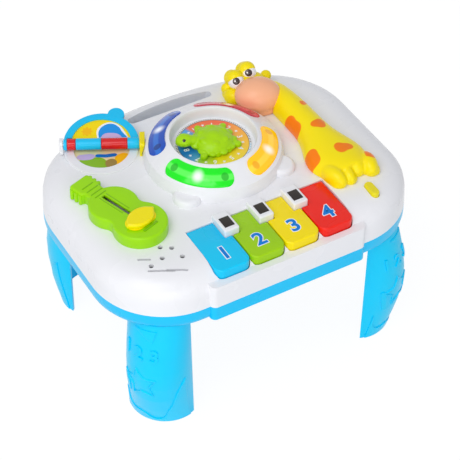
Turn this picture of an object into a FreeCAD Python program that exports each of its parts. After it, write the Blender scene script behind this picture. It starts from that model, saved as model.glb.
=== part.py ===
import FreeCAD, Part
import math
import os
from types import SimpleNamespace

import Sketcher
from FreeCAD import Vector

# Musical activity table for babies, in millimetres. X runs along the keyboard to the right, Y to the back
# and Z up. The origin is on the floor, under the middle of the table.

SIZES = {
    # deck and band
    "table_top": 146.5, "shell_split": 117.7, "band_bottom": 105.0, "half_width": 131.0,
    "front_edge": 101.0, "back_edge": 104.5, "apron_out": 3.5, "apron_half": 66.0,
    "front_corner": 60.0, "back_corner": 70.0, "back_corner_y": 27.0,
    "crown_in": 23.0, "crown_drop": 15.5, "draft_in": 0.8, "band_in": 2.2, "wall": 2.5,
    # carry handle
    "hole_half": 37.0, "hole_front": 76.5, "hole_back": 88.5, "hole_end": 4.0,
    # legs
    "leg_front_x": 94.5, "leg_front_y": -74.5, "leg_back_x": 92.0, "leg_back_y": 66.0,
    "leg_top_width": 48.0, "leg_foot_width": 52.0, "leg_top_depth": 17.0, "leg_foot_depth": 17.0,
    "leg_bulge": 9.5, "leg_wall": 3.0, "tenon_tall": 10.0, "tenon_wall": 2.4,
    # keys
    "key_pitch": 29.4, "key_gap": 0.8, "key_top": 145.7, "key_front": 98.5, "key_back": 51.5,
    "key_skirt": 12.5, "key_wall": 2.0, "key_corner": 6.5, "key_travel_gap": 0.6,
    "rod_y": -46.5, "rod_z": 138.8, "rod_radius": 1.5, "barrel_radius": 3.4, "running_gap": 0.05,
    "frame_half": 6.2, "frame_front": 69.0, "frame_top": 151.3, "insert_x": 8.2, "insert_y": 10.6,
    "insert_proud": 0.3, "board_thick": 1.6, "key_board_z": 122.0, "dome_y": -80.0, "dome_radius": 4.5,
    "dome_tall": 7.0,
    # dais and dial
    "dial_x": 1.0, "dial_y": 12.9, "dais_radius": 54.0, "dais_shoulder": 156.6, "dais_rim": 167.3,
    "rim_radius": 33.0, "disc_radius": 29.2, "disc_top": 159.0, "disc_thick": 1.2,
    "lens_inner": 37.0, "lens_outer": 49.5, "lens_span": 72.0, "lens_proud": 0.9, "lens_gap": 0.15,
    "lobe_radius": 11.0, "lobe_reach": 53.0, "led_radius": 2.5,
    # turtle knob
    "turtle_radius": 15.0, "turtle_tall": 8.5, "turtle_reach": 22.0, "shaft_radius": 3.5, "knob_lift": 0.3,
    # flip page
    "book_x": -70.5, "book_y": 60.5, "book_turn": -27.5, "ring_radius": 28.5, "window_radius": 21.5,
    "ring_rise": 1.2, "hinge_rise": 6.6, "page_radius": 29.0, "page_inner": 23.0, "page_thick": 3.2,
    "page_tilt": 11.0, "bead_radius": 4.4, "spindle_radius": 1.5, "spindle_half": 31.0,
    # guitar
    "guitar_x": -104.0, "guitar_y": 23.0, "guitar_turn": -71.6, "guitar_tall": 10.0,
    "upper_bout": 19.0, "lower_bout": 20.5, "upper_at": 31.0, "lower_at": 58.0, "neck_half": 7.5,
    "head_half": 9.5, "slot_width": 3.4, "slot_start": 20.0, "slider_at": 58.5, "slider_long": 26.0,
    "slider_wide": 15.0, "slider_tall": 4.0,
    # giraffe
    "giraffe_x": 79.0, "giraffe_tall": 17.0, "muzzle_x": 62.0, "muzzle_y": 47.2,
    # mode button
    "button_x": 85.5, "button_y": -79.0, "button_wide": 7.0, "button_long": 15.0, "button_rise": 2.0,
    # speaker, board, battery box and screws
    "speaker_x": -86.0, "speaker_y": -66.0, "speaker_radius": 18.0, "cell_radius": 7.1, "cell_long": 50.0,
    "cell_y": 14.0, "door_half_x": 26.0, "door_half_y": 28.0, "box_top": 125.0, "boss_radius": 4.0,
    "screw_radius": 1.4, "side_boss_x": 116.0, "side_boss_y": -5.0, "back_boss_x": 42.0, "back_boss_y": 64.0,
    "front_boss_x": 67.0, "front_boss_y": -46.0,
}

doc = FreeCAD.newDocument("activity_table")
sheet = doc.addObject("Spreadsheet::Sheet", "Sizes")
for row, (alias, value) in enumerate(SIZES.items(), start=1):
    sheet.set("A%d" % row, alias)
    sheet.set("B%d" % row, str(value))
    sheet.setAlias("B%d" % row, alias)
doc.recompute()
size = SimpleNamespace(**{alias: float(sheet.get(alias)) for alias in SIZES})

UP = Vector(0, 0, 1)
nodes = []


# Ways of making a sub-part

def keep(node, shape):
    """A moulded piece whose form comes from Part's own functions."""
    piece = doc.addObject("Part::Feature", node)
    piece.Label = node
    piece.Shape = shape.removeSplitter() if len(shape.Solids) == 1 else shape
    nodes.append(piece)
    return piece


def body(node, x="0", y="0", z="0", turn="0"):
    """A PartDesign body whose place follows the sheet."""
    made = doc.addObject("PartDesign::Body", node)
    made.Label = node
    for axis, place in zip("xyz", (x, y, z)):
        made.setExpression(".Placement.Base." + axis, place)
    made.setExpression(".Placement.Rotation.Angle", turn)
    nodes.append(made)
    return made


def origin_part(made, role):
    return next(o for o in made.Origin.OriginFeatures if o.Role == role)


def new_sketch(made, name, role, rise=None):
    drawn = made.newObject("Sketcher::SketchObject", name)
    drawn.AttachmentSupport = [(origin_part(made, role), "")]
    drawn.MapMode = "FlatFace"
    if rise:
        drawn.setExpression(".AttachmentOffset.Base.z", rise)
    return drawn


def dimension(drawn, kind, refs, formula):
    value = float(sheet.evalExpression(formula))
    index = drawn.addConstraint(Sketcher.Constraint(kind, *refs, value))
    drawn.setExpression("Constraints[%d]" % index, formula)


def circle(drawn, radius, x="0", y="0"):
    start = Part.Circle(Vector(float(sheet.evalExpression(x)), float(sheet.evalExpression(y)), 0), UP,
                        float(sheet.evalExpression(radius)))
    edge = drawn.addGeometry(start, False)
    dimension(drawn, "Radius", (edge,), radius)
    dimension(drawn, "DistanceX", (-1, 1, edge, 3), x)
    dimension(drawn, "DistanceY", (-1, 1, edge, 3), y)


def polygon(drawn, corners):
    """Straight outline whose corners are held by formulas."""
    points = [Vector(float(sheet.evalExpression(x)), float(sheet.evalExpression(y)), 0) for x, y in corners]
    edges = []
    for start, end in zip(points, points[1:] + points[:1]):
        edges.append(drawn.addGeometry(Part.LineSegment(start, end), False))
    for edge, following in zip(edges, edges[1:] + edges[:1]):
        drawn.addConstraint(Sketcher.Constraint("Coincident", edge, 2, following, 1))
    for edge, (x, y) in zip(edges, corners):
        dimension(drawn, "DistanceX", (-1, 1, edge, 1), x)
        dimension(drawn, "DistanceY", (-1, 1, edge, 1), y)


def rectangle(drawn, half_x, half_y):
    polygon(drawn, [("-(%s)" % half_x, "-(%s)" % half_y), (half_x, "-(%s)" % half_y),
                    (half_x, half_y), ("-(%s)" % half_x, half_y)])


def pad(made, drawn, length):
    grown = made.newObject("PartDesign::Pad", drawn.Name + "_pad")
    grown.Profile = drawn
    grown.setExpression("Length", length)
    return grown


def turned(made, corners):
    """A turned piece: outline in the XZ plane, round the body's Z axis."""
    drawn = new_sketch(made, made.Name + "_outline", "XZ_Plane")
    polygon(drawn, corners)
    spun = made.newObject("PartDesign::Revolution", made.Name + "_turned")
    spun.Profile = drawn
    spun.ReferenceAxis = (origin_part(made, "Z_Axis"), [""])
    spun.Angle = 360
    return spun


# Plain shapes used by the moulded pieces

def place(x, y, z=0.0, turn=0.0):
    return FreeCAD.Placement(Vector(x, y, z), FreeCAD.Rotation(UP, turn))


def placed(shape, placement):
    moved = shape.copy()
    moved.Placement = placement.multiply(moved.Placement)
    return moved


def cylinder(radius, bottom, top, x=0.0, y=0.0):
    return Part.makeCylinder(radius, top - bottom, Vector(x, y, bottom))


def block(x0, x1, y0, y1, z0, z1):
    return Part.makeBox(x1 - x0, y1 - y0, z1 - z0, Vector(x0, y0, z0))


def arc(first, middle, last):
    return Part.Arc(first, middle, last).toShape()


def line(first, last):
    return Part.LineSegment(first, last).toShape()


def polar(radius, degrees, height=0.0):
    turn = math.radians(degrees)
    return Vector(radius * math.cos(turn), radius * math.sin(turn), height)


def loft(wires, ruled=True):
    return Part.makeLoft(wires, True, ruled)


def column(wire, tall):
    return Part.Face(wire).extrude(Vector(0, 0, tall))


def revolved(points):
    wire = Part.makePolygon([Vector(r, 0, z) for r, z in points] + [Vector(points[0][0], 0, points[0][1])])
    return Part.Face(wire).revolve(Vector(0, 0, 0), UP, 360)


def oval(half_long, half_wide, height):
    """Stadium outline along X."""
    straight = half_long - half_wide
    right = arc(Vector(straight, -half_wide, height), Vector(half_long, 0, height),
                Vector(straight, half_wide, height))
    left = arc(Vector(-straight, half_wide, height), Vector(-half_long, 0, height),
               Vector(-straight, -half_wide, height))
    return Part.Wire([line(Vector(-straight, -half_wide, height), Vector(straight, -half_wide, height)), right,
                      line(Vector(straight, half_wide, height), Vector(-straight, half_wide, height)), left])


def egg(x, y, z, along, across, turn=0.0):
    """Solid of revolution of a half ellipse; its long axis lies level, turned from X."""
    half = Part.ArcOfEllipse(Part.Ellipse(Vector(0, 0, 0), along, across), 0, math.pi).toShape()
    face = Part.Face(Part.Wire([half, line(Vector(-along, 0, 0), Vector(along, 0, 0))]))
    return placed(face.revolve(Vector(0, 0, 0), Vector(1, 0, 0), 360), place(x, y, z, turn))


def soft_edges(shape, radius, wanted):
    edges = [edge for edge in shape.Edges if wanted(edge)]
    return shape.makeFillet(radius, edges)


def at_height(height):
    return lambda edge: all(abs(vertex.Z - height) < 0.01 for vertex in edge.Vertexes)


# Plan of the table: straight front and sides, round corners and a bowed back

def plan(inset, height):
    half = size.half_width - inset
    front = inset - size.front_edge
    front_x = size.half_width - size.front_corner
    front_y = size.front_corner - size.front_edge
    back_x = size.half_width - size.back_corner
    back_y = size.back_corner_y
    reach = size.back_edge - size.back_corner
    bow_y = (back_x ** 2 + back_y ** 2 - reach ** 2) / (2 * (back_y - reach))
    bow = size.back_edge - bow_y - inset
    lean = math.degrees(math.atan2(back_y - bow_y, back_x))
    touch = Vector(0, bow_y, height) + polar(bow, lean)
    front_in = size.front_corner - inset
    back_in = size.back_corner - inset
    front_mid = Vector(front_x, front_y, height) + polar(front_in, -45)
    back_mid = Vector(back_x, back_y, height) + polar(back_in, lean / 2)

    def mirrored(point):
        return Vector(-point.x, point.y, point.z)

    a = Vector(front_x, front, height)
    b = Vector(half, front_y, height)
    c = Vector(half, back_y, height)
    top = Vector(0, bow_y + bow, height)
    return Part.Wire([
        line(mirrored(a), a), arc(a, front_mid, b), line(b, c), arc(c, back_mid, touch),
        arc(touch, top, mirrored(touch)), arc(mirrored(touch), mirrored(back_mid), mirrored(c)),
        line(mirrored(c), mirrored(b)), arc(mirrored(b), mirrored(front_mid), mirrored(a))])


CROWN_STEPS = 5


def crown(inset, drop, bottom):
    """Solid under the crowned deck, moved in by inset and down by drop."""
    wires = [plan(inset, bottom)]
    base = size.table_top - size.crown_drop - drop
    for step in range(CROWN_STEPS + 1):
        turn = math.pi / 2 * step / CROWN_STEPS
        moved = inset + size.draft_in + size.crown_in * (1 - math.cos(turn))
        wires.append(plan(moved, base + size.crown_drop * math.sin(turn)))
    return loft(wires)


def apron(inset, bottom, top):
    """Straight stretch of the front that stands proud of the corners."""
    half = size.apron_half - inset
    front = -size.front_edge - size.apron_out + inset
    shape = block(-half, half, front, -size.front_edge + 12, bottom, top)
    return soft_edges(shape, size.apron_out + 1.0, lambda edge: edge.BoundBox.ZLength > 1
                      and edge.BoundBox.YMax < front + 0.1)


def hole_plan(grow, height):
    """Outline of the hand hole: straight front, bowed back and round ends."""
    half = size.hole_half + grow
    front = size.hole_front - grow
    back = size.hole_back + grow
    end = size.hole_end + grow
    straight = half - end
    side = front + 2 * end
    return Part.Wire([
        line(Vector(-straight, front, height), Vector(straight, front, height)),
        arc(Vector(straight, front, height), Vector(half, front + end, height), Vector(straight, side, height)),
        arc(Vector(straight, side, height), Vector(0, back, height), Vector(-straight, side, height)),
        arc(Vector(-straight, side, height), Vector(-half, front + end, height),
            Vector(-straight, front, height))])


BOSSES = [(side * x, y) for x, y in ((size.side_boss_x, size.side_boss_y), (size.back_boss_x, size.back_boss_y),
                                     (size.front_boss_x, size.front_boss_y)) for side in (-1, 1)]
KEYS = [(number - 2.5) * size.key_pitch for number in (1, 2, 3, 4)]
FRAMES = [number * size.key_pitch for number in (-1, 0, 1)]
LENSES = {"red": 45.0, "blue": 135.0, "green": 225.0, "yellow": 315.0}
LEGS = {"front_right": (1, -1), "front_left": (-1, -1), "back_right": (1, 1), "back_left": (-1, 1)}


# Lens outline in plan and the slope that it follows

def sector(grow, height, tall, middle):
    """Curved slot between two radii, with round ends, centred on the angle middle."""
    half_wide = (size.lens_outer - size.lens_inner) / 2
    radius = (size.lens_outer + size.lens_inner) / 2
    reach = size.lens_span / 2 - math.degrees(half_wide / radius)
    inner = radius - half_wide - grow
    outer = radius + half_wide + grow
    first = middle - reach
    last = middle + reach
    cap = math.degrees((half_wide + grow) / radius)
    wire = Part.Wire([
        arc(polar(outer, first, height), polar(outer, middle, height), polar(outer, last, height)),
        arc(polar(outer, last, height), polar(radius, last + cap, height), polar(inner, last, height)),
        arc(polar(inner, last, height), polar(inner, middle, height), polar(inner, first, height)),
        arc(polar(inner, first, height), polar(radius, first - cap, height), polar(outer, first, height))])
    return placed(column(wire, tall), place(size.dial_x, size.dial_y))


def slope_height(radius):
    outer = size.dais_radius - 2.0
    inner = size.rim_radius + 2.5
    share = (outer - radius) / (outer - inner)
    return size.dais_shoulder + share * (size.dais_rim - 0.5 - size.dais_shoulder)


def dais_solid(thin, bottom):
    """Turned form of the dais; thin moves its surface inwards."""
    rim = size.rim_radius
    outer = size.dais_radius
    top = size.dais_rim - thin
    points = [(0.0, bottom), (outer - thin, bottom), (outer - thin, size.table_top + 3.0 - thin),
              (outer - 2.0 - thin, size.dais_shoulder - thin), (rim + 2.5, top - 0.5), (rim + 1.3, top),
              (0.0, top)]
    return placed(revolved(points), place(size.dial_x, size.dial_y))


def well_solid(thin, bottom):
    """Hollow of the dial well; thin grows it for the wall under it."""
    rim = size.rim_radius + thin
    floor_z = size.disc_top - size.disc_thick
    points = [(0.0, floor_z - thin), (size.disc_radius + 2.6 + thin, floor_z - thin), (rim, size.dais_rim - 0.8),
              (rim + 0.8, size.dais_rim + 0.2), (0.0, size.dais_rim + 0.2)]
    if bottom:
        points = [(r, z) for r, z in points if z <= size.dais_rim]
        points.append((0.0, size.dais_rim - 0.8))
    return placed(revolved(points), place(size.dial_x, size.dial_y))


def key_plan(number, grow, height):
    """Outline of a key: round front corners, and a notch beside each raised frame."""
    centre = KEYS[number]
    half = (size.key_pitch - size.key_gap) / 2 + grow
    front = -size.key_front - grow
    back = -size.key_back + grow
    corner = size.key_corner + grow
    notch_x = size.key_pitch / 2 - size.frame_half - 0.5 + grow
    notch_y = -size.frame_front - 0.6 + grow
    left = centre - half
    right = centre + half
    turn = corner * (1 - math.sqrt(0.5))
    path = [line(Vector(left + corner, front, height), Vector(right - corner, front, height)),
            arc(Vector(right - corner, front, height), Vector(right - turn, front + turn, height),
                Vector(right, front + corner, height))]
    corners = [Vector(right, front + corner, height)]
    if number < 3:
        corners += [Vector(right, notch_y, height), Vector(centre + notch_x, notch_y, height),
                    Vector(centre + notch_x, back, height)]
    else:
        corners += [Vector(right, back, height)]
    if number > 0:
        corners += [Vector(centre - notch_x, back, height), Vector(centre - notch_x, notch_y, height),
                    Vector(left, notch_y, height)]
    else:
        corners += [Vector(left, back, height)]
    corners.append(Vector(left, front + corner, height))
    path += [line(first, last) for first, last in zip(corners, corners[1:])]
    path.append(arc(Vector(left, front + corner, height), Vector(left + turn, front + turn, height),
                    Vector(left + corner, front, height)))
    return Part.Wire(path)


def top_shell():
    deck = crown(0.0, 0.0, size.shell_split)
    deck = deck.fuse(apron(0.0, size.shell_split, size.table_top - 8.5))
    deck = deck.cut(crown(size.wall, size.wall, size.shell_split - 1))
    centre = place(size.dial_x, size.dial_y)
    deck = deck.cut(placed(cylinder(size.dais_radius - size.wall, size.shell_split, size.table_top + 1), centre))
    raised = dais_solid(0.0, size.table_top - size.wall)
    for middle in (219.0, 315.0):
        foot = polar(size.lobe_reach, middle) + Vector(size.dial_x, size.dial_y, 0)
        lobe = cylinder(size.lobe_radius, size.table_top - 1, size.table_top + 5.5, foot.x, foot.y)
        raised = raised.fuse(soft_edges(lobe, 3.5, at_height(size.table_top + 5.5)))
    raised = raised.cut(dais_solid(size.wall, size.table_top - size.wall - 1))
    raised = raised.fuse(well_solid(size.wall, True).common(dais_solid(0.0, size.table_top)))
    deck = deck.fuse(raised).cut(well_solid(0.0, False))
    collar = column(hole_plan(size.wall, size.shell_split), size.table_top - size.shell_split)
    deck = deck.fuse(collar.common(crown(0.5, 0.5, size.shell_split)))
    deck = deck.cut(column(hole_plan(0.0, size.shell_split - 1), 60))
    ring = placed(cylinder(size.ring_radius, size.table_top - 0.5, size.table_top + size.ring_rise),
                  place(size.book_x, size.book_y))
    ring = soft_edges(ring, 0.9, at_height(size.table_top + size.ring_rise))
    deck = deck.fuse(ring)
    deck = deck.cut(placed(cylinder(size.window_radius, size.table_top - 0.8, size.table_top + 5),
                           place(size.book_x, size.book_y)))
    post = block(-size.spindle_half - 1.0, -size.page_radius - 0.4, -4.0, 4.0, -size.hinge_rise + 0.1,
                 size.bead_radius)
    post = soft_edges(post, 2.5, lambda edge: at_height(size.bead_radius)(edge) and edge.BoundBox.XLength > 0.5)
    post = post.cut(Part.makeCylinder(size.spindle_radius, 40, Vector(-size.spindle_half, 0, 0),
                                      Vector(1, 0, 0)))
    deck = deck.fuse(placed(post, book_place()))
    well = None
    for number in range(4):
        cut = column(key_plan(number, size.key_travel_gap, 127.0), 40.0)
        well = cut if well is None else well.fuse(cut)
    well = well.fuse(block(-2 * size.key_pitch, 2 * size.key_pitch, -size.frame_front - 0.5,
                           -size.key_back + size.key_travel_gap, 127.0, 160.0))
    deck = deck.cut(well)
    for x in FRAMES:
        stem = block(x - size.frame_half, x + size.frame_half, -size.frame_front, -size.key_back + 3,
                     size.rod_z - 5.0, size.frame_top)
        stem = soft_edges(stem, 1.4, lambda edge: at_height(size.frame_top)(edge)
                          or (edge.BoundBox.ZLength > 1 and edge.BoundBox.YMax < -size.frame_front + 0.1))
        ear = block(x - size.frame_half, x + size.frame_half, -size.key_back - 1, size.rod_y + 4.0,
                    size.rod_z - 5.0, size.table_top - 1)
        stem = stem.fuse(ear)
        half_x = size.insert_x / 2
        middle = -size.frame_front + size.frame_half + 2.6
        stem = stem.cut(block(x - half_x, x + half_x, middle - size.insert_y / 2, middle + size.insert_y / 2,
                              size.frame_top - 3.0, size.frame_top + 1))
        deck = deck.fuse(stem)
    end = 2 * size.key_pitch
    for side in (-1, 1):
        low = min(side * (end + 1.0), side * (end + 4.0))
        deck = deck.fuse(block(low, low + 3.0, size.rod_y - 4.0, size.rod_y + 4.0, size.rod_z - 4.0,
                               size.table_top - 1.5))
    deck = deck.cut(Part.makeCylinder(size.rod_radius, 2 * end + 8, Vector(-end - 4, size.rod_y, size.rod_z),
                                      Vector(1, 0, 0)))
    for middle in LENSES.values():
        deck = deck.cut(sector(size.lens_gap, size.table_top + 5, 30, middle))
    for degrees in (0.0, 90.0, 180.0, 270.0):
        foot = polar(43.0, degrees) + Vector(size.dial_x, size.dial_y, 0)
        pillar = cylinder(2.5, led_board_top(), 158.0, foot.x, foot.y)
        deck = deck.fuse(pillar).cut(cylinder(0.9, led_board_top() - 1, led_board_top() + 5, foot.x, foot.y))
    deck = deck.cut(cylinder(size.shaft_radius + size.running_gap, 140, 170, size.dial_x, size.dial_y))
    for x, y in BOSSES:
        boss = cylinder(size.boss_radius, size.shell_split, size.table_top - size.wall + 0.5, x, y)
        boss = boss.cut(cylinder(size.screw_radius, size.shell_split - 1, size.shell_split + 12, x, y))
        deck = deck.fuse(boss.common(crown(0.5, 0.5, size.shell_split - 1)))
    rim = cylinder(size.speaker_radius + 2.0, speaker_top() - 3.0, size.table_top - 1.0)
    rim = rim.cut(cylinder(size.speaker_radius + 0.1, 100, size.table_top - size.wall))
    deck = deck.fuse(placed(rim, place(size.speaker_x, size.speaker_y)).common(
        crown(1.0, 1.0, size.shell_split)))
    for x, y in ((4.0, 10.5), (11.0, 6.0), (0.0, 0.0), (13.5, -5.5), (-10.5, -3.0)):
        deck = deck.cut(cylinder(1.9, 130, 160, size.speaker_x + x, size.speaker_y + y))
    for x, y, half in ((-12.0, 5.0, 5.0), (-6.0, -10.5, 10.0), (4.0, -15.0, 8.0)):
        groove = column(oval(half, 0.9, 130), 30)
        deck = deck.cut(placed(groove, place(size.speaker_x + x, size.speaker_y + y, 0, -28.0)))
    opening = column(oval(size.button_long / 2 + 0.3, size.button_wide / 2 + 0.3, 130), 30)
    deck = deck.cut(placed(opening, place(size.button_x, size.button_y, 0, 90)))
    for side in (-1, 1):
        y = size.button_y + side * 11.2
        deck = deck.fuse(cylinder(2.2, button_board_top(), size.table_top - 1.5, size.button_x, y).common(
            crown(0.5, 0.5, size.shell_split)))
    keep("top_shell", deck)


def led_board_top():
    return size.table_top + 2.0


def speaker_top():
    return size.table_top - size.wall - 3.2


def button_board_top():
    return size.table_top - 13.0


def book_place():
    return place(size.book_x, size.book_y, size.table_top + size.hinge_rise, size.book_turn)


def leg_frame(name):
    """Where a leg's chord lies; its outer side looks along the diagonal."""
    side, end = LEGS[name]
    x = size.leg_back_x if end > 0 else size.leg_front_x
    y = size.leg_back_y if end > 0 else size.leg_front_y
    return place(side * x, y, 0, math.degrees(math.atan2(end, side)) - 90)


def bow_wire(width, depth, thick, height):
    """C section: outer arc over the chord, inner arc one wall inside."""
    outer = width / 2
    inner = outer - thick
    return Part.Wire([
        arc(Vector(-outer, 0, height), Vector(0, depth, height), Vector(outer, 0, height)),
        line(Vector(outer, 0, height), Vector(inner, 0, height)),
        arc(Vector(inner, 0, height), Vector(0, depth - thick, height), Vector(-inner, 0, height)),
        line(Vector(-inner, 0, height), Vector(-outer, 0, height))])


def bow_face(width, depth, height):
    half = width / 2
    return Part.Wire([arc(Vector(-half, 0, height), Vector(0, depth, height), Vector(half, 0, height)),
                      line(Vector(half, 0, height), Vector(-half, 0, height))])


LEG_STEPS = 7


def leg(name):
    wires = []
    for step in range(LEG_STEPS + 1):
        share = step / LEG_STEPS
        width = size.leg_foot_width + (size.leg_top_width - size.leg_foot_width) * share
        straight = size.leg_foot_depth + (size.leg_top_depth - size.leg_foot_depth) * share
        depth = straight + size.leg_bulge * math.sin(math.pi * share)
        wires.append(bow_wire(width, depth, size.leg_wall, size.band_bottom * share))
    shape = loft(wires)
    inset = size.leg_wall + 0.6
    tenon = bow_wire(size.leg_top_width - 2 * inset, size.leg_top_depth - inset, size.tenon_wall,
                     size.band_bottom - 0.5)
    ring = bow_wire(size.leg_top_width, size.leg_top_depth, inset + size.tenon_wall, size.band_bottom - 3.0)
    shape = shape.fuse(column(ring, 3.0)).fuse(column(tenon, size.tenon_tall + 0.5))
    keep("leg_" + name, placed(shape, leg_frame(name)))


def bottom_shell():
    outer = loft([plan(size.band_in, size.band_bottom), plan(0.6, size.band_bottom + 2.0),
                  plan(0.0, size.band_bottom + 5.0), plan(0.0, size.shell_split)])
    outer = outer.fuse(apron(0.0, size.band_bottom, size.shell_split))
    inner = loft([plan(size.wall + size.band_in, size.band_bottom + size.wall),
                  plan(size.wall, size.band_bottom + 6.0), plan(size.wall, size.shell_split + 1)])
    tray = outer.cut(inner)
    hole = hole_plan(size.wall, size.band_bottom + 1)
    tray = tray.fuse(column(hole, size.shell_split - size.band_bottom - 1))
    tray = tray.cut(column(hole_plan(0.0, size.band_bottom - 1), 40))
    socket_top = size.band_bottom + size.tenon_tall + 1.0
    for name in LEGS:
        width = size.leg_top_width - 2 * size.leg_wall - 1.2 + 0.5
        depth = size.leg_top_depth - size.leg_wall - 0.6 + 0.25
        cup = column(bow_face(width + 4.0, depth + 2.0, size.band_bottom + 1), size.tenon_tall)
        slot = bow_face(width, depth, size.band_bottom - 1)
        slot = column(slot, socket_top - size.band_bottom + 1)
        spot = leg_frame(name)
        back = placed(block(-width / 2 - 2, width / 2 + 2, -2.2, 0.1, size.band_bottom + 1,
                            socket_top), spot)
        socket = placed(cup, spot).fuse(back).common(outer)
        tray = tray.fuse(socket).cut(placed(slot, spot))
    box_x = size.door_half_x - 2.0
    box_y = size.door_half_y - 2.0
    y = size.cell_y
    walls = block(-box_x - 2, box_x + 2, y - box_y - 2, y + box_y + 2, size.band_bottom + 1, size.box_top)
    tray = tray.fuse(walls)
    tray = tray.cut(block(-box_x, box_x, y - box_y, y + box_y, size.band_bottom - 1, size.box_top - 2))
    tray = tray.cut(block(-size.door_half_x - 0.2, size.door_half_x + 0.2, y - size.door_half_y - 0.2,
                          y + size.door_half_y + 0.2, size.band_bottom - 1, size.band_bottom + 1.6))
    for x, y in BOSSES:
        tray = tray.fuse(cylinder(size.boss_radius + 1, size.band_bottom + 1, size.shell_split, x, y))
        tray = tray.cut(cylinder(3.3, size.band_bottom - 1, size.band_bottom + 5.0, x, y))
        tray = tray.cut(cylinder(size.screw_radius + 0.3, size.band_bottom, size.shell_split + 1, x, y))
    for x in (-44.0, 44.0):
        tray = tray.fuse(cylinder(3.0, size.band_bottom + 1, size.key_board_z, x, size.dome_y))
    for x in (40.0, 84.0):
        tray = tray.fuse(cylinder(3.0, size.band_bottom + 1, main_board_z(), x, 2.0))
    keep("bottom_shell", tray)


def main_board_z():
    return size.band_bottom + 14.0


def key(number):
    outline = key_plan(number, 0.0, size.key_top - size.key_skirt)
    shape = column(outline, size.key_skirt)
    shape = soft_edges(shape, 1.2, lambda edge: at_height(size.key_top)(edge)
                       and edge.BoundBox.YMin < -size.key_front + size.key_corner + 0.1)
    hollow = column(key_plan(number, -size.key_wall, size.key_top - size.key_skirt - 1), size.key_skirt
                    + 1 - size.key_wall)
    shape = shape.cut(hollow)
    centre = KEYS[number]
    half = size.key_pitch / 2 - size.frame_half - 1.2
    tongue_top = size.table_top - size.wall - 0.5
    tongue = block(centre - half, centre + half, -size.key_back - 4.0, size.rod_y, size.rod_z - 2.0, tongue_top)
    barrel = Part.makeCylinder(size.barrel_radius, 2 * half, Vector(centre - half, size.rod_y, size.rod_z),
                               Vector(1, 0, 0))
    shape = shape.fuse(tongue.cut(block(-200, 200, size.rod_y, 0, 0, 200))).fuse(barrel)
    plunger = cylinder(3.0, dome_top() + 0.1, size.key_top - size.key_wall + 0.2, centre, size.dome_y)
    shape = shape.fuse(plunger)
    shape = shape.cut(Part.makeCylinder(size.rod_radius + size.running_gap, 60, Vector(centre - 30, size.rod_y,
                                                                                      size.rod_z),
                                        Vector(1, 0, 0)))
    keep("key_%d" % (number + 1), shape)


def dome_top():
    return size.key_board_z + size.board_thick + size.dome_tall


def key_domes():
    for number in range(len(KEYS)):
        dome = body("key_dome_%d" % (number + 1), "(%.1f) * Sizes.key_pitch" % (number - 1.5), "Sizes.dome_y",
                    "Sizes.key_board_z + Sizes.board_thick")
        turned(dome, [("0", "0"), ("Sizes.dome_radius + 1", "0"), ("Sizes.dome_radius + 1", "1"),
                      ("Sizes.dome_radius", "1.2"), ("Sizes.dome_radius * 0.6", "Sizes.dome_tall - 1.5"),
                      ("Sizes.dome_radius * 0.6", "Sizes.dome_tall"), ("0", "Sizes.dome_tall")])


def key_board():
    board = body("key_circuit_board", "0", "Sizes.dome_y", "Sizes.key_board_z")
    drawn = new_sketch(board, "key_board_plan", "XY_Plane")
    rectangle(drawn, "2 * Sizes.key_pitch - 4", "11")
    pad(board, drawn, "Sizes.board_thick")


def key_rod():
    rod = body("key_hinge_rod", "-2 * Sizes.key_pitch - 4", "Sizes.rod_y", "Sizes.rod_z")
    drawn = new_sketch(rod, "rod_plan", "YZ_Plane")
    circle(drawn, "Sizes.rod_radius - 0.01")
    pad(rod, drawn, "4 * Sizes.key_pitch + 8")


def black_inserts():
    whole = None
    middle = -size.frame_front + size.frame_half + 2.6
    for x in FRAMES:
        piece = block(x - size.insert_x / 2 + 0.05, x + size.insert_x / 2 - 0.05,
                      middle - size.insert_y / 2 + 0.05, middle + size.insert_y / 2 - 0.05,
                      size.frame_top - 3.0, size.frame_top + size.insert_proud)
        whole = piece if whole is None else whole.fuse(piece)
    keep("black_key_inserts", whole)


def lens(colour, middle):
    """Sloped translucent window with a lip that stands proud of the dais."""
    inner = size.lens_inner - 1.0
    outer = size.lens_outer + 1.0
    low = slope_height(outer)
    high = slope_height(inner)
    rise = size.lens_proud
    band = revolved([(inner, high - size.wall - 0.5), (outer, low - size.wall - 0.5), (outer, low + rise),
                     (inner, high + rise)])
    band = placed(band, place(size.dial_x, size.dial_y))
    keep("light_window_" + colour, band.common(sector(0.0, size.table_top, 40, middle)))


def light_board():
    top = led_board_top()
    x = size.dial_x
    y = size.dial_y
    board = cylinder(50.0, top - size.board_thick, top, x, y).cut(cylinder(37.0, top - 5, top + 5, x, y))
    keep("light_board", board)
    for colour, middle in LENSES.items():
        spot = polar(43.0, middle) + Vector(x, y, 0)
        led = cylinder(size.led_radius, top, top + 4.0, spot.x, spot.y)
        led = led.fuse(Part.makeSphere(size.led_radius, Vector(spot.x, spot.y, top + 4.0)))
        led = led.fuse(cylinder(size.led_radius + 0.5, top, top + 1.0, spot.x, spot.y))
        keep("led_" + colour, led)
    screws = None
    for degrees in (0.0, 90.0, 180.0, 270.0):
        spot = polar(43.0, degrees) + Vector(x, y, 0)
        screw = cylinder(1.8, top - size.board_thick - 1.2, top - size.board_thick, spot.x, spot.y)
        screws = screw if screws is None else screws.fuse(screw)
    keep("light_board_screws", screws)


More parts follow.
